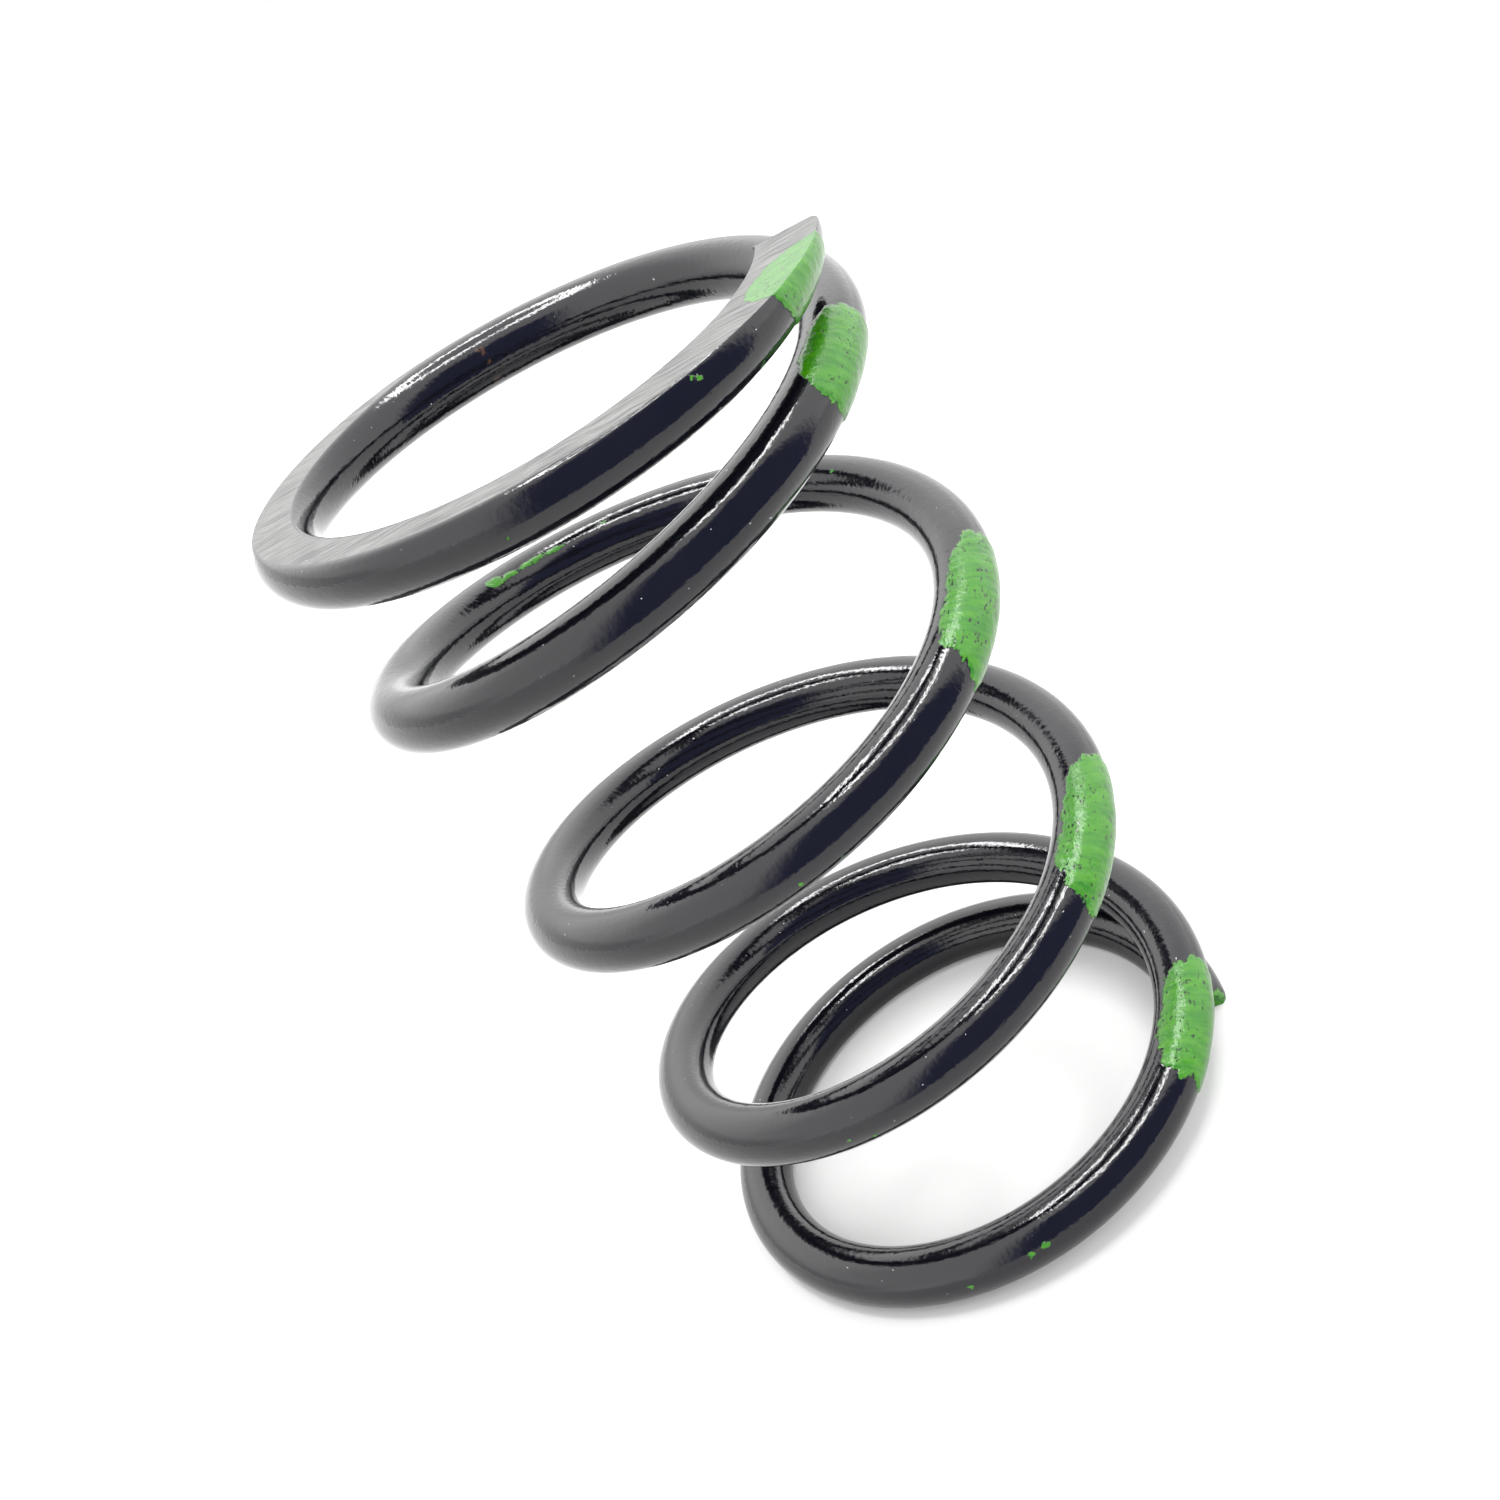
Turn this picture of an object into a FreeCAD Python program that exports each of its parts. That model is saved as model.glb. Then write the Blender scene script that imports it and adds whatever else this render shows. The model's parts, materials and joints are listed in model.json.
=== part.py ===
import FreeCAD, Part
import Sketcher
import os
from FreeCAD import Placement, Rotation, Vector

# Compression spring with closed and ground ends.  Millimetres, +Z up.  The ground bottom
# face lies on Z = 0 and the coil axis is the Z axis.  The wire is cut into short arcs by
# upright planes through the axis, so neighbouring arcs slide past each other along Z
# face to face when the spring is pressed together.

doc = FreeCAD.newDocument("coil_spring")

# ---------------------------------------------------------------- driving dimensions
SIZES = [
    ("wire_dia", 5.5, "diameter of the round wire"),
    ("mean_dia", 47.5, "coil diameter, wire centre to wire centre"),
    ("active_pitch", 24.7, "rise per turn of the open coils"),
    ("end_pitch", 0.4, "rise per turn of the closed coil at each end"),
    ("tip_lift", 2.1, "how far the tip springs out of the closed coil's plane"),
    ("tip_lift_turns", 0.28, "turns over which the tip springs out"),
    ("closed_turns", 0.49, "turns from the tip before the wire starts to climb"),
    ("climb_turns", 0.68, "turns over which the pitch grows to the active pitch"),
    ("arcs_per_turn", 8, "arcs that one turn of wire is cut into"),
    ("arc_count", 40, "arcs in the whole spring"),
    ("end_arcs", 7, "arcs of each closed end coil, the tip included"),
    ("tip_extra_turns", 0.018, "extra wire on each tip beyond its eighth of a turn"),
    ("top_tip_trim_turns", 0.03, "how much shorter the wire is sheared at the top tip"),
    ("tip_thickness", 2.5, "thickness left at the tip after the end is ground flat"),
    ("grind_margin", 2.0, "how far the grinding cut runs past the wire"),
]
SIZE = {name: value for name, value, note in SIZES}

sheet = doc.addObject("Spreadsheet::Sheet", "sizes")
sheet_row = 0


def put(name, value, note=""):
    """Write one named value to the sheet and return its binding text."""
    global sheet_row
    sheet_row += 1
    sheet.set("A%d" % sheet_row, name)
    sheet.set("B%d" % sheet_row, repr(value))
    sheet.setAlias("B%d" % sheet_row, name)
    if note:
        sheet.set("C%d" % sheet_row, note)
    return "sizes." + name


for size_name, size_value, size_note in SIZES:
    put(size_name, size_value, size_note)

# ------------------------------------------------------------ the shape of the coil
ARCS = SIZE["arc_count"]
END_ARCS = SIZE["end_arcs"]
STEP = 1.0 / SIZE["arcs_per_turn"]
EXTRA = SIZE["tip_extra_turns"]
TOTAL_TURNS = ARCS * STEP + 2 * EXTRA
WIRE_RADIUS = SIZE["wire_dia"] / 2


def climb(turns):
    """Fall of the wire centre, counted from a tip, within that tip's half of the spring."""
    lift_left = max(1 - turns / SIZE["tip_lift_turns"], 0.0)
    lifted = SIZE["tip_lift"] * (1 - lift_left ** 2)
    past = max(turns - SIZE["closed_turns"], 0.0)
    growing = min(past, SIZE["climb_turns"])
    gained = growing ** 2 / (2 * SIZE["climb_turns"]) + past - growing
    return lifted + SIZE["end_pitch"] * turns + (
        SIZE["active_pitch"] - SIZE["end_pitch"]) * gained


FULL_CLIMB = 2 * climb(TOTAL_TURNS / 2)
TIP_CENTRE = SIZE["tip_thickness"] - WIRE_RADIUS
FREE_LENGTH = FULL_CLIMB + 2 * TIP_CENTRE


def centre_height(turns):
    """Height of the wire centre above the floor, turns counted from the bottom tip."""
    if turns <= TOTAL_TURNS / 2:
        return TIP_CENTRE + climb(turns)
    return TIP_CENTRE + FULL_CLIMB - climb(TOTAL_TURNS - turns)


put("free_length", FREE_LENGTH, "height between the two ground faces")
put("cut_width", (SIZE["mean_dia"] + SIZE["wire_dia"]) / 2 + 2 * SIZE["grind_margin"],
    "side of the square that the grinding cut covers")


# ----------------------------------------------------------------- modelling helpers
def origin_item(body, role):
    return next(o for o in body.Origin.OriginFeatures if o.Role == role)


def sketch_on(body, label, role, offset=None):
    sketch = body.newObject("Sketcher::SketchObject", label)
    sketch.AttachmentSupport = [(origin_item(body, role), "")]
    sketch.MapMode = "FlatFace"
    if offset is not None:
        sketch.AttachmentOffset = offset
    return sketch


def wire_section(body):
    """The round wire section, in the upright plane where the arc starts."""
    sketch = sketch_on(body, body.Label + "_section", "XZ_Plane")
    centre = Vector(SIZE["mean_dia"] / 2, 0, 0)
    sketch.addGeometry(Part.Circle(centre, Vector(0, 0, 1), WIRE_RADIUS), False)
    across = sketch.addConstraint(Sketcher.Constraint("DistanceX", -1, 1, 0, 3, centre.x))
    sketch.addConstraint(Sketcher.Constraint("PointOnObject", 0, 3, -1))
    round_wire = sketch.addConstraint(Sketcher.Constraint("Radius", 0, WIRE_RADIUS))
    sketch.setExpression("Constraints[%d]" % across, "sizes.mean_dia / 2")
    sketch.setExpression("Constraints[%d]" % round_wire, "sizes.wire_dia / 2")
    return sketch


def grind(body, label, upward, level_name):
    """Cut the wire flat at a level; upward takes away what is above it."""
    sketch = sketch_on(body, label, "XY_Plane")
    sketch.setExpression("AttachmentOffset.Base.z", "sizes." + level_name)
    margin, width = SIZE["grind_margin"], sheet_value("cut_width")
    low, high = -margin, -margin + width
    corners = [Vector(low, low, 0), Vector(high, low, 0), Vector(high, high, 0),
               Vector(low, high, 0)]
    for i, corner in enumerate(corners):
        sketch.addGeometry(Part.LineSegment(corner, corners[(i + 1) % 4]), False)
    for i in range(4):
        sketch.addConstraint(Sketcher.Constraint("Coincident", i, 2, (i + 1) % 4, 1))
        sketch.addConstraint(Sketcher.Constraint(("Horizontal", "Vertical")[i % 2], i))
    bound = [
        (("DistanceX", 0, 1, -1, 1, margin), "sizes.grind_margin"),
        (("DistanceY", 0, 1, -1, 1, margin), "sizes.grind_margin"),
        (("DistanceX", 0, 1, 0, 2, width), "sizes.cut_width"),
        (("DistanceY", 1, 1, 1, 2, width), "sizes.cut_width"),
    ]
    for constraint, expression in bound:
        index = sketch.addConstraint(Sketcher.Constraint(*constraint))
        sketch.setExpression("Constraints[%d]" % index, expression)
    cut = body.newObject("PartDesign::Pocket", label + "_cut")
    cut.Profile = sketch
    cut.Reversed = upward
    cut.setExpression("Length", "sizes.wire_dia")
    return cut


def sheet_value(name):
    doc.recompute()
    return float(sheet.get(name))


# ------------------------------------------------------------------------- the arcs
def arc_name(index):
    """Node name of an arc, counted from the bottom tip."""
    from_top = ARCS - 1 - index
    if index < END_ARCS:
        return "bottom_end_tip" if index == 0 else "bottom_end_arc_%d" % (index + 1)
    if from_top < END_ARCS:
        return "top_end_tip" if from_top == 0 else "top_end_arc_%d" % (from_top + 1)
    return "active_arc_%02d" % (index - END_ARCS + 1)


def arc_turns(index):
    """Start and end of an arc, in turns from the bottom tip."""
    start = 0.0 if index == 0 else EXTRA + index * STEP
    end = EXTRA + (index + 1) * STEP
    if index == ARCS - 1:
        end = TOTAL_TURNS - SIZE["top_tip_trim_turns"]
    return start, end


def make_arc(index):
    """One arc of wire with its own rise, ground flat where it meets an end plane."""
    name = arc_name(index)
    start, end = arc_turns(index)
    low, high = centre_height(start), centre_height(end)
    put(name + "_turns", end - start)
    put(name + "_rise", high - low)
    put(name + "_base", low)
    put(name + "_floor", -low)
    put(name + "_ceiling", FREE_LENGTH - low)

    body = doc.addObject("PartDesign::Body", name)
    body.Label = name
    coil = body.newObject("PartDesign::AdditiveHelix", name + "_coil")
    coil.Profile = wire_section(body)
    coil.ReferenceAxis = (origin_item(body, "Z_Axis"), [""])
    coil.Mode = 2
    coil.LeftHanded = False
    coil.setExpression("Height", "sizes.%s_rise" % name)
    coil.setExpression("Turns", "sizes.%s_turns" % name)
    body.Tip = coil
    if low - WIRE_RADIUS < 0:
        body.Tip = grind(body, name + "_floor_grind", False, name + "_floor")
    if high + WIRE_RADIUS > FREE_LENGTH:
        body.Tip = grind(body, name + "_top_grind", True, name + "_ceiling")
    body.Placement = Placement(Vector(0, 0, low),
                               Rotation(Vector(0, 0, 1), 360 * (start - EXTRA)))
    return body


arcs = [make_arc(index) for index in range(ARCS)]
doc.recompute()

# --------------------------------------------------------------------- check, export
os.makedirs("parts", exist_ok=True)
for item in doc.Objects:
    if "Invalid" in item.State or "Error" in item.State:
        raise RuntimeError("%s did not build: %s" % (item.Label, item.State))
for body in arcs:
    if body.Shape.isNull() or not body.Shape.isValid() or len(body.Shape.Solids) != 1:
        raise RuntimeError("%s is not one valid solid" % body.Label)
    body.Shape.exportStep("parts/%s.step" % body.Label)
print("arcs", len(arcs), "free length", round(FREE_LENGTH, 3),
      "turns", round(arc_turns(ARCS - 1)[1], 3), "volume", round(sum(b.Shape.Volume for b in arcs), 1))
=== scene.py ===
"""A compression coil spring, closed and ground at both ends, in gloss black enamel with green
identification dabs.  The wire is wound by one Geometry Nodes tree and cut into pieces at the
spring's sliding joints."""

import json
import math

import bpy
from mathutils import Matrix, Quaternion, Vector

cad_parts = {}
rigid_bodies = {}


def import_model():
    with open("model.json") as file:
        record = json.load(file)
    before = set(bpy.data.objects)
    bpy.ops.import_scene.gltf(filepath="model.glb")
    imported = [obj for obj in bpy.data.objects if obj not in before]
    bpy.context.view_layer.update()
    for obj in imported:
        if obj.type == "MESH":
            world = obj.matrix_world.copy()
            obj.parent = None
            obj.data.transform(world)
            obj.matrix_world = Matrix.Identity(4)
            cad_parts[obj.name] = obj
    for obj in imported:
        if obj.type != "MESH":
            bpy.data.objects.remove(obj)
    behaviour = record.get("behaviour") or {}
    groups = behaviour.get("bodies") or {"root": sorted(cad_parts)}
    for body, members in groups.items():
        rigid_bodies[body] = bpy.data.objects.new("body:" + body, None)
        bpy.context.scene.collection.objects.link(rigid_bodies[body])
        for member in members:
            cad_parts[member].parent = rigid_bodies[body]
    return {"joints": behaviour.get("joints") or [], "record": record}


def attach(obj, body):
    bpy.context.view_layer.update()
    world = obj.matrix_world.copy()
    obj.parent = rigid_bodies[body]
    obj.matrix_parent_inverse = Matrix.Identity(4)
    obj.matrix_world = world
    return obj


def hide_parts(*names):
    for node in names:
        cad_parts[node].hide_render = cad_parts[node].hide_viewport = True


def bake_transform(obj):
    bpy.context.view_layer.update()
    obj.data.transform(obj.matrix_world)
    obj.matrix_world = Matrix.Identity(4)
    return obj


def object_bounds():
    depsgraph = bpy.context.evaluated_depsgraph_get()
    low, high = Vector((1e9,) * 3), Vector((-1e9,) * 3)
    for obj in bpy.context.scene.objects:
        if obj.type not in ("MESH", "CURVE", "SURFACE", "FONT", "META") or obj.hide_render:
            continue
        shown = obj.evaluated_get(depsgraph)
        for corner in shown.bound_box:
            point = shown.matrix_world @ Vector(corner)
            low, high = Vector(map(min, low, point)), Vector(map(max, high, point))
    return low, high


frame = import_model()
CAD_LOW, CAD_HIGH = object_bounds()

# ------------------------------------------------------------------ sizes, in metres
MM = 0.001
IN_MM = 1 / MM
WIRE_RADIUS = 2.75 * MM
COIL_RADIUS = CAD_HIGH.x - WIRE_RADIUS
FREE_LENGTH = CAD_HIGH.z
ACTIVE_PITCH = 24.7 * MM
END_PITCH = 0.4 * MM
TIP_LIFT = 2.1 * MM
TIP_LIFT_TURNS = 0.28
CLOSED_TURNS = 0.49
CLIMB_TURNS = 0.68
GROUND_TURNS = 0.70
TIP_THICKNESS = 2.5 * MM
TIP_CENTRE = TIP_THICKNESS - WIRE_RADIUS
ARCS_PER_TURN = 8
ARC_COUNT = len(frame["record"]["subparts"])
TIP_EXTRA_TURNS = 0.018
TOP_TIP_TRIM_TURNS = 0.03
TOTAL_TURNS = ARC_COUNT / ARCS_PER_TURN + 2 * TIP_EXTRA_TURNS
TURN_LENGTH = 2 * math.pi * COIL_RADIUS

# Green paint on the wire.  Each patch: turns below the top tip, lean in turns for each 90
# degrees round the wire, half its length, the side of the wire that it sits on in degrees
# (0 outward, 90 up), half its spread round the wire in degrees, and how ragged its edge is.
BRUSHED_DABS = [
    (0.088, 0.008, 4.8 * MM, 15, 100, 0.5 * MM),
    (1.088, 0.003, 5.0 * MM, 8, 88, 0.9 * MM),
    (2.080, 0.000, 7.2 * MM, 8, 92, 1.1 * MM),
    (3.084, 0.002, 7.6 * MM, 12, 96, 1.1 * MM),
    (4.089, 0.002, 6.2 * MM, 16, 98, 1.3 * MM),
    (5.074, 0.000, 6.6 * MM, 0, 80, 0.7 * MM),
]
SMEARED_DROPS = [
    (1.640, 0.000, 0.95 * MM, 128, 13, 0.5 * MM),
    (1.652, 0.000, 1.15 * MM, 132, 6, 0.4 * MM),
    (1.671, 0.000, 1.60 * MM, 130, 7, 0.4 * MM),
    (1.689, 0.000, 1.30 * MM, 133, 5, 0.3 * MM),
    (1.728, 0.000, 1.40 * MM, 125, 3, 0.3 * MM),
]
# Flecks of the same paint: turns below the top tip, side of the wire in degrees, radius.
FLECKS = [
    (0.178, 21, 0.20 * MM), (0.180, 27, 0.15 * MM), (0.282, -18, 0.14 * MM),
    (0.223, -73, 0.50 * MM), (0.194, -70, 0.34 * MM), (0.143, -48, 0.26 * MM),
    (1.900, 120, 0.22 * MM), (1.968, 25, 0.26 * MM), (2.258, -20, 0.24 * MM),
    (2.234, -30, 0.18 * MM), (3.297, -22, 0.26 * MM), (3.310, -6, 0.17 * MM),
    (4.253, 19, 0.36 * MM), (4.262, 16, 0.28 * MM), (4.300, 4, 0.20 * MM),
]
PAINT_PATCHES = BRUSHED_DABS + SMEARED_DROPS
PAINT_THICKNESS = 0.11 * MM
PAINT_SHOULDER = 0.28 * MM
PATCH_SQUARENESS = 2.6            # 2 is an ellipse, and more is nearer a rectangle


# ------------------------------------------------------------ writing trees of nodes
class Tree:
    """A node tree written as plain expressions."""

    def __init__(self, tree):
        self.tree = tree

    def node(self, kind, inputs=None, **settings):
        made = self.tree.nodes.new(kind)
        for name, value in settings.items():
            setattr(made, name, value)
        for name, value in (inputs or {}).items():
            self.feed(made.inputs[name], value)
        return made

    def feed(self, socket, value):
        if isinstance(value, bpy.types.NodeSocket):
            self.tree.links.new(value, socket)
        else:
            socket.default_value = value

    def math(self, operation, *values):
        made = self.tree.nodes.new("ShaderNodeMath")
        made.operation = operation
        for socket, value in zip(made.inputs, values):
            self.feed(socket, value)
        return made.outputs[0]

    def add(self, a, b):
        return self.math("ADD", a, b)

    def less(self, a, b):
        return self.math("SUBTRACT", a, b)

    def times(self, a, b):
        return self.math("MULTIPLY", a, b)

    def over(self, a, b):
        return self.math("DIVIDE", a, b)

    def highest(self, a, b):
        return self.math("MAXIMUM", a, b)

    def lowest(self, a, b):
        return self.math("MINIMUM", a, b)

    def between(self, value, low, high, to_low=0.0, to_high=1.0, smooth=True):
        """The value's place between two limits, kept inside them."""
        made = self.node("ShaderNodeMapRange", {
            "Value": value, "From Min": low, "From Max": high,
            "To Min": to_low, "To Max": to_high}, clamp=True)
        made.interpolation_type = "SMOOTHSTEP" if smooth else "LINEAR"
        return made.outputs["Result"]

    def vector(self, x, y, z):
        return self.node("ShaderNodeCombineXYZ", {"X": x, "Y": y, "Z": z}).outputs[0]

    def split(self, vector):
        return self.node("ShaderNodeSeparateXYZ", {"Vector": vector}).outputs

    def stretched(self, vector, x, y, z):
        made = self.node("ShaderNodeVectorMath", {0: vector, 1: (x, y, z)},
                         operation="MULTIPLY")
        return made.outputs[0]

    def noise(self, vector, scale, detail=2.0, roughness=0.5):
        made = self.node("ShaderNodeTexNoise", {
            "Vector": vector, "Scale": scale, "Detail": detail, "Roughness": roughness})
        return made.outputs[0]

    def blend(self, share, one, other):
        """A colour that is one where share is 0 and the other where it is 1."""
        made = self.node("ShaderNodeMix", data_type="RGBA")
        self.feed(made.inputs[0], share)
        self.feed(made.inputs[6], one)
        self.feed(made.inputs[7], other)
        return made.outputs[2]


# --------------------------------------------------------------- the wound wire tree
WIRE_INPUTS = [
    ("First Turn", 0.0), ("Last Turn", 1.0), ("Rings", 100), ("Points Round", 96),
    ("Ground Side", 1.0), ("Wire Radius", WIRE_RADIUS), ("Coil Radius", COIL_RADIUS),
    ("Active Pitch", ACTIVE_PITCH), ("End Pitch", END_PITCH), ("Tip Lift", TIP_LIFT),
    ("Tip Lift Turns", TIP_LIFT_TURNS), ("Closed Turns", CLOSED_TURNS),
    ("Climb Turns", CLIMB_TURNS), ("Ground Turns", GROUND_TURNS),
    ("Total Turns", TOTAL_TURNS), ("Free Length", FREE_LENGTH), ("Tip Centre", TIP_CENTRE),
    ("Ground Edge", 0.16 * MM), ("Soft Edge", 0.75 * MM), ("Paint Thickness", PAINT_THICKNESS),
    ("Paint Shoulder", PAINT_SHOULDER), ("Top Tip Trim", TOP_TIP_TRIM_TURNS),
    ("Worn Corner", 0.60 * MM), ("Worn Length", 1.4 * MM),
    ("Burr", 0.40 * MM), ("Burr Length", 0.55 * MM),
]
WHOLE_NUMBERS = ("Rings", "Points Round")


def fall_from_tip(t, group, turns):
    """How far the wire centre is from its tip's level, for turns counted from that tip."""
    left = t.highest(t.less(1.0, t.over(turns, group["Tip Lift Turns"])), 0.0)
    lifted = t.times(group["Tip Lift"], t.less(1.0, t.times(left, left)))
    past = t.highest(t.less(turns, group["Closed Turns"]), 0.0)
    growing = t.lowest(past, group["Climb Turns"])
    gained = t.add(t.over(t.times(growing, growing), t.times(group["Climb Turns"], 2.0)),
                   t.less(past, growing))
    steeper = t.less(group["Active Pitch"], group["End Pitch"])
    return t.add(t.add(lifted, t.times(group["End Pitch"], turns)),
                 t.times(steeper, gained))


def paint_depth(t, from_top, side_angle, ragged):
    """How far inside the edge of the nearest paint patch a point lies, in metres."""
    depth = -1.0                  # far outside any patch
    for turns, lean, half_length, side, half_spread, roughness in PAINT_PATCHES:
        round_way = t.over(t.less(side_angle, math.radians(side)), math.radians(half_spread))
        middle = t.add(t.times(round_way, lean * half_spread / 90), turns)
        along_way = t.times(t.less(from_top, middle), TURN_LENGTH / half_length)
        powers = [t.math("POWER", t.math("ABSOLUTE", way), PATCH_SQUARENESS)
                  for way in (along_way, round_way)]
        size = t.math("POWER", t.add(*powers), 1 / PATCH_SQUARENESS)
        reach = min(half_length, math.radians(half_spread) * WIRE_RADIUS)
        inside = t.add(t.times(t.less(1.0, size), reach), t.times(ragged, 2 * roughness))
        depth = t.highest(depth, inside)
    return depth


def wound_wire_tree():
    """Wire wound on a cylinder between two turn counts, ground flat at its end planes and
    raised where it is painted."""
    group_tree = bpy.data.node_groups.new("wound_wire", "GeometryNodeTree")
    face = group_tree.interface
    for name, value in WIRE_INPUTS:
        kind = "NodeSocketInt" if name in WHOLE_NUMBERS else "NodeSocketFloat"
        face.new_socket(name, in_out="INPUT", socket_type=kind).default_value = value
    face.new_socket("Finish", in_out="INPUT", socket_type="NodeSocketMaterial")
    face.new_socket("Geometry", in_out="OUTPUT", socket_type="NodeSocketGeometry")
    t = Tree(group_tree)
    group = t.node("NodeGroupInput").outputs

    def store(geometry, name, value, kind="FLOAT"):
        return t.node("GeometryNodeStoreNamedAttribute", {
            "Geometry": geometry, "Name": name, "Value": value},
            data_type=kind, domain="POINT").outputs[0]

    def share_of(curve, name):
        return store(curve, name, t.node("GeometryNodeSplineParameter").outputs["Factor"])

    def read(name):
        return t.node("GeometryNodeInputNamedAttribute", {"Name": name},
                      data_type="FLOAT").outputs["Attribute"]

    line = t.node("GeometryNodeCurvePrimitiveLine", {"End": (1.0, 0.0, 0.0)}).outputs[0]
    path = t.node("GeometryNodeResampleCurve", {
        "Curve": line, "Count": group["Rings"]}).outputs[0]
    section = t.node("GeometryNodeCurvePrimitiveCircle", {
        "Resolution": group["Points Round"], "Radius": 0.01}).outputs["Curve"]
    tube = t.node("GeometryNodeCurveToMesh", {
        "Curve": share_of(path, "share_along"), "Profile Curve": share_of(section, "share_round"),
        "Fill Caps": True}).outputs[0]

    # the rings are even, but the first and last lie close to the ends, so that light
    # falls the same way on both sides of a join between two pieces
    close = 0.02
    even = t.less(t.times(read("share_along"), t.less(group["Rings"], 1.0)), 1.0 - close)
    spaces = t.add(t.less(group["Rings"], 3.0), 2 * close)
    share = t.lowest(t.highest(t.over(even, spaces), 0.0), 1.0)
    turns = t.add(group["First Turn"], t.times(
        share, t.less(group["Last Turn"], group["First Turn"])))

    half_way = t.over(group["Total Turns"], 2.0)
    full_climb = t.times(fall_from_tip(t, group, half_way), 2.0)
    from_top = t.less(group["Total Turns"], turns)
    nearest_tip = t.lowest(turns, from_top)
    fall = fall_from_tip(t, group, nearest_tip)
    upper = t.math("GREATER_THAN", turns, half_way)
    climbed = t.add(t.times(upper, t.less(full_climb, fall)),
                    t.times(t.less(1.0, upper), fall))
    centre = t.add(group["Tip Centre"], climbed)

    # two rows of points follow the corners where the section meets the grinding plane, and
    # past the ground stretch they go back to an even spacing
    clearance = t.over(t.add(fall, group["Tip Centre"]), group["Wire Radius"])
    meeting = t.math("ARCCOSINE", t.lowest(clearance, 1.0))
    flat_share = math.radians(60)
    relaxed = t.between(nearest_tip, group["Ground Turns"], t.add(group["Ground Turns"], 0.25),
                        math.radians(5), flat_share)
    corner = t.highest(meeting, relaxed)
    spread = t.times(t.less(read("share_round"), 0.5), 2 * math.pi)
    size = t.math("ABSOLUTE", spread)
    on_flat = t.math("LESS_THAN", size, flat_share)
    flat_angle = t.over(t.times(corner, size), flat_share)
    round_angle = t.add(corner, t.over(
        t.times(t.less(size, flat_share), t.less(math.pi, corner)), math.pi - flat_share))
    angle = t.add(t.times(on_flat, flat_angle), t.times(t.less(1.0, on_flat), round_angle))
    signed = t.times(t.math("SIGN", spread), angle)
    outward = t.times(group["Ground Side"], t.math("SINE", signed))
    upward = t.times(group["Ground Side"], t.math("COSINE", signed))

    straight = t.vector(t.times(turns, TURN_LENGTH), t.times(group["Wire Radius"], outward),
                        t.times(group["Wire Radius"], upward))
    ragged = t.less(t.noise(t.stretched(straight, 0.6, 1.0, 1.0), 900.0, 4.0, 0.6), 0.5)
    depth = paint_depth(t, from_top, t.math("ARCTAN2", upward, outward), ragged)
    lumps = t.between(t.noise(straight, 420.0, 1.0), 0.3, 0.7, 0.7, 1.15)
    raised = t.times(t.times(group["Paint Thickness"], lumps),
                     t.between(depth, 0.0, group["Paint Shoulder"]))

    whole_angle = t.times(t.less(turns, TIP_EXTRA_TURNS), 2 * math.pi)
    skin = t.add(group["Wire Radius"], raised)
    reach = t.add(group["Coil Radius"], t.times(skin, outward))

    # shearing the wire wore the tip's outer corner round and left a burr on the inner one
    from_shear = t.times(t.lowest(turns, t.less(from_top, group["Top Tip Trim"])), TURN_LENGTH)
    wear = t.highest(t.less(1.0, t.over(from_shear, group["Worn Length"])), 0.0)
    worn = t.times(t.times(wear, wear), t.highest(outward, 0.0))
    reach = t.less(reach, t.times(worn, group["Worn Corner"]))
    curl = t.highest(t.less(1.0, t.over(from_shear, group["Burr Length"])), 0.0)
    burred = t.times(t.times(curl, curl), t.highest(t.less(-0.4, outward), 0.0))
    reach = t.less(reach, t.times(burred, group["Burr"]))
    height = t.add(centre, t.times(skin, upward))
    cut = t.highest(t.less(height, group["Free Length"]), t.times(height, -1.0))
    # the grinding leaves crisp edges, except for a stretch a third of a turn from the tip
    softness = t.times(t.between(nearest_tip, 0.15, 0.29), t.between(nearest_tip, 0.48, 0.38))
    softer = t.times(softness, t.less(group["Soft Edge"], group["Ground Edge"]))
    edge = t.add(group["Ground Edge"], softer)
    cut = t.less(cut, t.times(edge, 0.3))
    height = t.math("SMOOTH_MIN", height, group["Free Length"], edge)
    height = t.math("SMOOTH_MAX", height, 0.0, edge)
    place = t.vector(t.times(reach, t.math("COSINE", whole_angle)),
                     t.times(reach, t.math("SINE", whole_angle)), height)
    wound = t.node("GeometryNodeSetPosition", {"Geometry": tube, "Position": place}).outputs[0]
    wound = store(wound, "along_wire", straight, "FLOAT_VECTOR")
    wound = store(wound, "paint_and_grinding", t.vector(depth, cut, 0.0), "FLOAT_VECTOR")
    for name in ("share_along", "share_round"):
        wound = t.node("GeometryNodeRemoveAttribute", {
            "Geometry": wound, "Name": name}).outputs[0]
    smooth = t.node("GeometryNodeSetShadeSmooth", {"Geometry": wound}).outputs[0]
    bend = t.node("GeometryNodeInputMeshEdgeAngle").outputs["Unsigned Angle"]
    crisp = t.node("GeometryNodeSetShadeSmooth", {
        "Geometry": smooth, "Selection": t.math("GREATER_THAN", bend, math.radians(60)),
        "Shade Smooth": False}, domain="EDGE").outputs[0]
    real = t.node("GeometryNodeRealizeInstances", {"Geometry": crisp}).outputs[0]
    done = t.node("GeometryNodeSetMaterial", {
        "Geometry": real, "Material": group["Finish"]}).outputs[0]
    t.node("NodeGroupOutput", {"Geometry": done})
    return group_tree


# -------------------------------------------------------------------------- pieces
# The three pieces at each sliding joint, and the shares of the wire between two arc middles that
# each one spans.
BENDING_PIECES = [("lower", 0.0, 0.14), ("middle", 0.14, 0.86), ("upper", 0.86, 1.0)]

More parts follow.
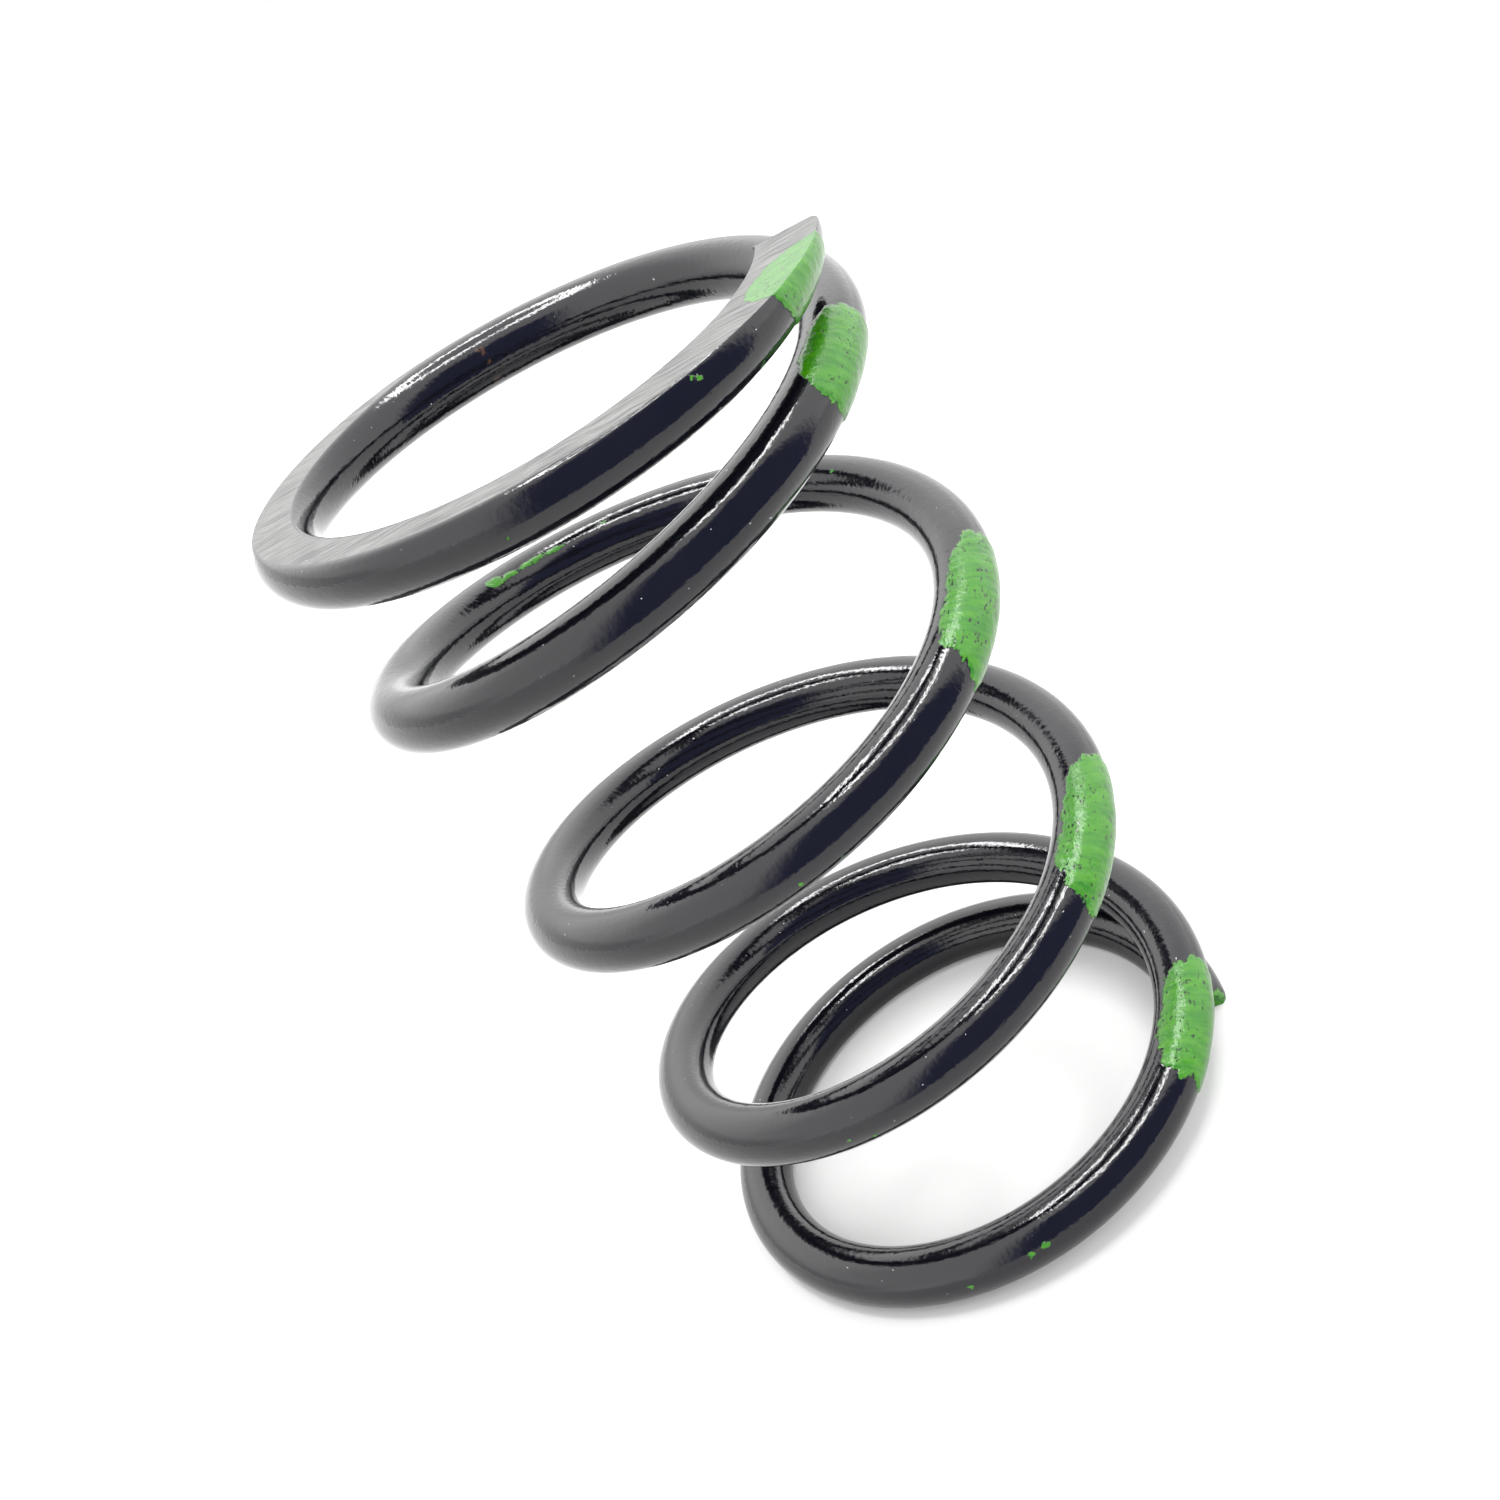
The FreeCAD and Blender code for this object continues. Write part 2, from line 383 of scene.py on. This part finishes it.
# How far apart the rings of a piece are, and how many points each ring has.
PLAIN_MESH = (0.30 * MM, 96)
PAINTED_MESH = (0.13 * MM, 144)
LONG_PAINTED_MESH = (0.20 * MM, 128)


def is_painted(first, last):
    """Whether any dab or smear reaches into a length of wire."""
    for turns, lean, half_length, _, _, ragged in PAINT_PATCHES:
        middle = TOTAL_TURNS - turns
        reach = (half_length + ragged) / TURN_LENGTH + abs(lean)
        if first - reach < middle < last + reach:
            return True
    return False


def wire_piece(name, tree, finish, first, last):
    """A plain mesh of the wire between two turn counts."""
    holder = bpy.data.objects.new(name + "_maker", bpy.data.meshes.new(name + "_maker"))
    bpy.context.scene.collection.objects.link(holder)
    modifier = holder.modifiers.new("winding", "NODES")
    modifier.node_group = tree
    sockets = {s.name: s.identifier for s in tree.interface.items_tree
               if s.item_type == "SOCKET" and s.in_out == "INPUT"}
    long_piece = last - first > 2 / ARCS_PER_TURN
    spacing, points_round = PLAIN_MESH
    if is_painted(first, last):
        spacing, points_round = LONG_PAINTED_MESH if long_piece else PAINTED_MESH
    values = {
        "First Turn": first, "Last Turn": last, "Finish": finish,
        "Rings": int((last - first) * TURN_LENGTH / spacing) + 4,
        "Points Round": points_round,
        "Ground Side": 1.0 if first + last > TOTAL_TURNS else -1.0}
    for socket_name, value in values.items():
        modifier[sockets[socket_name]] = value
    holder.update_tag()
    shape = bpy.data.meshes.new_from_object(
        holder.evaluated_get(bpy.context.evaluated_depsgraph_get()))
    bpy.data.objects.remove(holder)
    shape.name = name
    piece = bpy.data.objects.new(name, shape)
    bpy.context.scene.collection.objects.link(piece)
    return piece


def centre_at(turns):
    """The wire centre at a turn count from the bottom tip."""
    def fall(t):
        left = max(1 - t / TIP_LIFT_TURNS, 0)
        past = max(t - CLOSED_TURNS, 0)
        growing = min(past, CLIMB_TURNS)
        return (TIP_LIFT * (1 - left ** 2) + END_PITCH * t + (ACTIVE_PITCH - END_PITCH)
                * (growing ** 2 / (2 * CLIMB_TURNS) + past - growing))
    whole = 2 * fall(TOTAL_TURNS / 2)
    lower = turns <= TOTAL_TURNS / 2
    climbed = fall(turns) if lower else whole - fall(TOTAL_TURNS - turns)
    angle = (turns - TIP_EXTRA_TURNS) * 2 * math.pi
    return Vector((COIL_RADIUS * math.cos(angle), COIL_RADIUS * math.sin(angle),
                   TIP_CENTRE + climbed))


def chain_of_bodies():
    """The bodies from the bottom end up, as the sliding joints join them."""
    above = {j["parent"]: j["child"] for j in frame["joints"]
             if j["name"].startswith("coil_closing")}
    chain = ["bottom_end_coil"]
    while chain[-1] in above:
        chain.append(above[chain[-1]])
    return chain


def node_names(body):
    return frame["record"]["behaviour"]["bodies"][body]


def bend_across(piece, first, last, low_share, high_share):
    """Bakes the piece's transform into its mesh.  The start and span of a blend that eases in and
    out, with its start and end where its easing has the two shares, are worked out but not used,
    so the piece doesn't bend between the two bodies."""
    def eased(share):
        """Where a smooth step from 0 to 1 reaches a share."""
        return 0.5 - math.sin(math.asin(1 - 2 * share) / 3)

    low, high = eased(low_share), eased(high_share)
    whole = (centre_at(last) - centre_at(first)) / (high - low)
    start = centre_at(first) - low * whole
    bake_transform(piece)


def build_wire(finish):
    """The wire in pieces: a rigid coil at each end, and between them three pieces for each
    sliding joint, from the middle of the arc below it to the middle of the arc above.  The
    pieces between are not attached to any body."""
    tree = wound_wire_tree()
    chain = chain_of_bodies()
    first_open = len(node_names("bottom_end_coil"))

    def middle(arc):
        """The turn count at the middle of an arc, counted from the bottom tip."""
        return TIP_EXTRA_TURNS + (arc + 0.5) / ARCS_PER_TURN

    bottom = wire_piece("bottom_closed_coil", tree, finish, 0.0, middle(first_open - 1))
    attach(bottom, "bottom_end_coil")
    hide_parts(*node_names("bottom_end_coil"))
    for step, (lower, higher) in enumerate(zip(chain, chain[1:])):
        arc = first_open + step
        for place, low_share, high_share in BENDING_PIECES:
            first = middle(arc - 1 + low_share)
            last = middle(arc - 1 + high_share)
            piece = wire_piece("open_coil_%02d_%s" % (step + 1, place), tree, finish,
                               first, last)
            bend_across(piece, first, last, low_share, high_share)
            if place == "middle":
                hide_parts(*node_names(higher))
    top = wire_piece("top_closed_coil", tree, finish, middle(first_open + len(chain) - 2),
                     TOTAL_TURNS - TOP_TIP_TRIM_TURNS)
    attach(top, "top_end_coil")
    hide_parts(*node_names("top_end_coil"))


# ------------------------------------------------------------------------- finishes
def enamel_material():
    """Gloss black enamel over drawn wire, thin over the ground faces, with green paint."""
    material = bpy.data.materials.new("black_enamel_with_green_dabs")
    material.use_nodes = True
    t = Tree(material.node_tree)
    shader = material.node_tree.nodes["Principled BSDF"]
    wire = t.node("ShaderNodeAttribute", attribute_name="along_wire").outputs["Vector"]
    wire = t.stretched(wire, IN_MM, IN_MM, IN_MM)
    marks = t.split(t.node("ShaderNodeAttribute",
                           attribute_name="paint_and_grinding").outputs["Vector"])
    along, outward, upward = t.split(wire)
    side_angle = t.math("ARCTAN2", upward, outward)
    place = t.node("ShaderNodeTexCoord").outputs["Object"]
    place = t.stretched(place, IN_MM, IN_MM, IN_MM)

    # ground faces: long scratches of the wheel, a little wavy
    ground = t.between(marks[1], 0.0, 0.06 * MM)
    waved = t.add(t.split(place)[1], t.times(t.noise(place, 0.30, 1.0), 1.6))
    scratch_place = t.vector(t.times(t.split(place)[0], 0.20), t.times(waved, 2.6), 0.0)
    scratches = t.noise(scratch_place, 1.0, 4.0, 0.68)

    # brush strokes run round the wire on a slant
    arc = t.times(side_angle, WIRE_RADIUS * IN_MM)
    slanted = t.vector(t.add(t.times(along, 1.5), t.times(arc, 0.6)), t.times(arc, 0.30), 0.0)
    strokes = t.noise(slanted, 1.0, 4.0, 0.62)

    # paint, with a ragged edge and pores that show the enamel
    turns_down = t.less(TOTAL_TURNS, t.over(along, TURN_LENGTH * IN_MM))
    fine = t.less(t.noise(wire, 3.2, 3.0, 0.6), 0.5)
    depth = t.add(t.times(marks[0], IN_MM), t.times(fine, 0.45))
    pore_zone = t.between(t.noise(wire, 0.55, 1.0), 0.40, 0.58, 0.72, 0.615)
    pore_zone = t.less(pore_zone, t.between(turns_down, 1.2, 2.0, 0.0, 0.025))
    pores = t.between(t.less(t.noise(t.stretched(wire, 0.7, 1.3, 1.3), 2.6, 3.0, 0.7),
                             pore_zone), 0.0, 0.03)
    painted = t.times(t.between(depth, -0.03, 0.05), t.less(1.0, pores))

    # stray flecks of the same paint, round spots with a shaken outline
    shake = 0.9
    shaken = t.add(arc, t.times(t.noise(wire, 1.7, 2.0), shake))
    spot = t.vector(t.add(t.times(turns_down, TURN_LENGTH * IN_MM), fine), shaken, 0.0)
    for turns, side, radius in FLECKS:
        round_way = math.radians(side) * WIRE_RADIUS * IN_MM + shake / 2
        centre = (turns * TURN_LENGTH * IN_MM, round_way, 0)
        apart = t.node("ShaderNodeVectorMath", {0: spot, 1: centre}, operation="DISTANCE")
        fleck = t.between(t.less(radius * IN_MM, apart.outputs["Value"]), -0.02, 0.05)
        painted = t.highest(painted, fleck)

    # a short line of rust across the inner side of the top coil, broken up
    rust_turns, rust_side = 0.721, math.radians(168)
    rust_along = t.add(t.less(turns_down, rust_turns), t.times(fine, 0.006))
    rust_round = t.less(t.math("ABSOLUTE", side_angle), rust_side)
    rust = t.times(t.between(t.math("ABSOLUTE", rust_along), 0.0035, 0.001),
                   t.between(t.math("ABSOLUTE", rust_round), math.radians(35), math.radians(22)))
    rust = t.times(rust, t.between(t.noise(wire, 1.1, 2.0), 0.48, 0.60))

    # grains of dust
    lint = t.between(t.noise(t.stretched(wire, 0.8, 1.2, 1.2), 1.9, 2.0), 0.765, 0.775)

    cloud = t.noise(wire, 0.12, 2.0)
    black = t.blend(cloud, (0.0010, 0.0010, 0.0024, 1), (0.0026, 0.0024, 0.0040, 1))
    grey = t.blend(t.between(scratches, 0.36, 0.62), (0.018, 0.018, 0.018, 1),
                   (0.100, 0.100, 0.096, 1))
    green = t.blend(t.between(strokes, 0.32, 0.66), (0.009, 0.090, 0.0003, 1),
                    (0.026, 0.130, 0.0006, 1))
    colour = t.blend(ground, black, grey)
    colour = t.blend(t.times(rust, 0.6), colour, (0.06, 0.030, 0.015, 1))
    colour = t.blend(t.times(lint, 0.8), colour, (0.30, 0.30, 0.30, 1))
    colour = t.blend(painted, colour, green)
    t.feed(shader.inputs["Base Color"], colour)

    gloss = t.between(t.noise(wire, 0.7, 3.0), 0.3, 0.7, 0.06, 0.12)
    roughness = t.add(t.times(gloss, t.less(1.0, ground)), t.times(ground, 0.38))
    roughness = t.add(t.times(roughness, t.less(1.0, painted)), t.times(painted, 0.26))
    t.feed(shader.inputs["Roughness"], roughness)
    shader.inputs["IOR"].default_value = 1.47

    # heights in millimetres: orange peel, drawing lines, grinding scratches, thick paint
    peel = t.add(t.times(t.noise(wire, 0.9, 1.0), 0.014),
                 t.times(t.noise(wire, 2.4, 2.0), 0.018))
    drawn = t.times(t.noise(t.stretched(wire, 0.16, 1.0, 1.0), 2.4, 3.0, 0.6), 0.014)
    rough_enamel = t.times(t.add(peel, drawn), t.less(1.0, ground))
    ground_lines = t.times(t.times(scratches, ground), 0.07)
    uneven = t.add(t.times(strokes, 0.04), t.times(t.noise(wire, 1.7, 2.0), 0.07))
    thick = t.times(painted, t.add(uneven, 0.05))
    height = t.add(t.add(rough_enamel, ground_lines), thick)
    bump = t.node("ShaderNodeBump", {"Strength": 1.0, "Distance": MM, "Height": height})
    t.feed(shader.inputs["Normal"], bump.outputs["Normal"])
    return material


# ------------------------------------------------------------------- floor and light
WALL_LIGHT = 2.5
LAMP_LIGHT = 26.0
LAMP_SIDE, LAMP_HEIGHT = math.radians(50), math.radians(79)
LAMP_RING = math.radians(17.5)


def floor():
    """A wide sheet of white paper."""
    mesh = bpy.data.meshes.new("floor")
    half = 4.0
    mesh.from_pydata([(-half, -half, 0), (half, -half, 0), (half, half, 0), (-half, half, 0)],
                     [], [(0, 1, 2, 3)])
    made = bpy.data.objects.new("floor", mesh)
    bpy.context.scene.collection.objects.link(made)
    paper = bpy.data.materials.new("white_paper")
    paper.use_nodes = True
    shader = paper.node_tree.nodes["Principled BSDF"]
    shader.inputs["Base Color"].default_value = (0.458, 0.458, 0.456, 1)
    shader.inputs["Roughness"].default_value = 0.7
    mesh.materials.append(paper)


def open_front():
    """The dark open front of the light tent: a curved card that shows only in the gloss."""
    radius, top = 0.175, 0.40
    first, last, steps = math.radians(-128), math.radians(-12), 48
    corners = []
    for i in range(steps + 1):
        angle = first + (last - first) * i / steps
        for z in (0.0, top):
            corners.append((radius * math.cos(angle), radius * math.sin(angle), z))
    mesh = bpy.data.meshes.new("open_front")
    mesh.from_pydata(corners, [], [(2 * i, 2 * i + 2, 2 * i + 3, 2 * i + 1)
                                   for i in range(steps)])
    made = bpy.data.objects.new("open_front", mesh)
    bpy.context.scene.collection.objects.link(made)
    card = bpy.data.materials.new("dark_opening")
    card.use_nodes = True
    t = Tree(card.node_tree)
    card.node_tree.nodes.clear()
    x, y, z = t.split(t.node("ShaderNodeTexCoord").outputs["Object"])
    angle = t.math("ARCTAN2", y, x)
    left = t.between(angle, math.radians(-126), math.radians(-96))
    right = t.between(t.add(angle, t.times(z, 1.2)), math.radians(0), math.radians(-14))
    upper = t.between(z, 0.38, 0.30)
    shade = t.times(t.times(t.times(left, left), right), upper)
    dark = t.node("ShaderNodeEmission", {"Color": (0.34, 0.39, 0.74, 1), "Strength": 0.75})
    clear = t.node("ShaderNodeBsdfTransparent")
    mixed = t.node("ShaderNodeMixShader", {0: shade, 1: clear.outputs[0], 2: dark.outputs[0]})
    t.node("ShaderNodeOutputMaterial", {"Surface": mixed.outputs[0]})
    mesh.materials.append(card)
    for way in ("camera", "diffuse", "transmission", "shadow", "volume_scatter"):
        setattr(made, "visible_" + way, False)


def tent_light():
    """A white light tent all round, with a ring lamp in its roof."""
    world = bpy.data.worlds.new("light_tent")
    bpy.context.scene.world = world
    world.use_nodes = True
    t = Tree(world.node_tree)
    world.node_tree.nodes.clear()
    way = t.node("ShaderNodeTexCoord").outputs["Generated"]
    lamp = Vector((math.cos(LAMP_SIDE), math.sin(LAMP_SIDE), math.tan(LAMP_HEIGHT)))
    lamp.normalize()
    facing = t.node("ShaderNodeVectorMath", {0: way, 1: lamp}, operation="DOT_PRODUCT")
    apart = t.math("ARCCOSINE", facing.outputs["Value"])
    ring = t.between(t.math("ABSOLUTE", t.less(apart, LAMP_RING)),
                     math.radians(3.0), math.radians(2.2))
    brightness = t.add(WALL_LIGHT, t.times(ring, LAMP_LIGHT))

    # the walls are brighter high up behind the spring and darker low down on the left
    height = t.split(way)[2]

    def towards(degrees, start, end):
        """How nearly a direction faces one side, from 0 to 1."""
        side = (math.cos(math.radians(degrees)), math.sin(math.radians(degrees)), 0)
        facing = t.node("ShaderNodeVectorMath", {0: way, 1: side}, operation="DOT_PRODUCT")
        return t.between(facing.outputs["Value"], start, end)

    brighter = t.times(towards(112, 0.3, 0.6), t.between(height, 0.30, 0.55, 0.0, 0.55))
    darker = t.times(towards(140, 0.2, 0.75), t.between(height, 0.34, 0.14, 0.0, 1.0))
    brightness = t.add(brightness, t.less(brighter, darker))

    # soft light from the front fills the shadows, and isn't mirrored in the gloss
    rays = t.node("ShaderNodeLightPath").outputs
    soft = t.add(t.times(brightness, 0.76), t.times(towards(-65, 0.1, 0.9), 2.8))
    brightness = t.add(brightness, t.times(rays["Is Diffuse Ray"], t.less(soft, brightness)))

    # the backdrop itself is plain white
    seen = rays["Is Camera Ray"]
    brightness = t.add(t.times(brightness, t.less(1.0, seen)), seen)
    glow = t.node("ShaderNodeBackground", {"Color": (1, 1, 1, 1), "Strength": brightness})
    t.node("ShaderNodeOutputWorld", {"Surface": glow.outputs[0]})


def camera():
    """A close view from above, with the camera leaning over to one side."""
    lens = bpy.data.cameras.new("camera")
    made = bpy.data.objects.new("camera", lens)
    bpy.context.scene.collection.objects.link(made)
    place = Vector((26.47, -142.89, 124.31)) * MM
    aim = Vector((2.76, -1.95, 52.39)) * MM
    lean = math.radians(-31.88)
    made.location = place
    made.rotation_mode = "QUATERNION"
    made.rotation_quaternion = ((aim - place).to_track_quat("-Z", "Y")
                                @ Quaternion((0, 0, 1), lean))
    lens.lens = 43.865
    lens.sensor_width = 36
    lens.shift_x = -0.0097
    lens.shift_y = -0.0326
    lens.clip_start = 5 * MM
    bpy.context.scene.camera = made


build_wire(enamel_material())
floor()
open_front()
tent_light()
camera()
bpy.context.scene.view_settings.view_transform = "Standard"
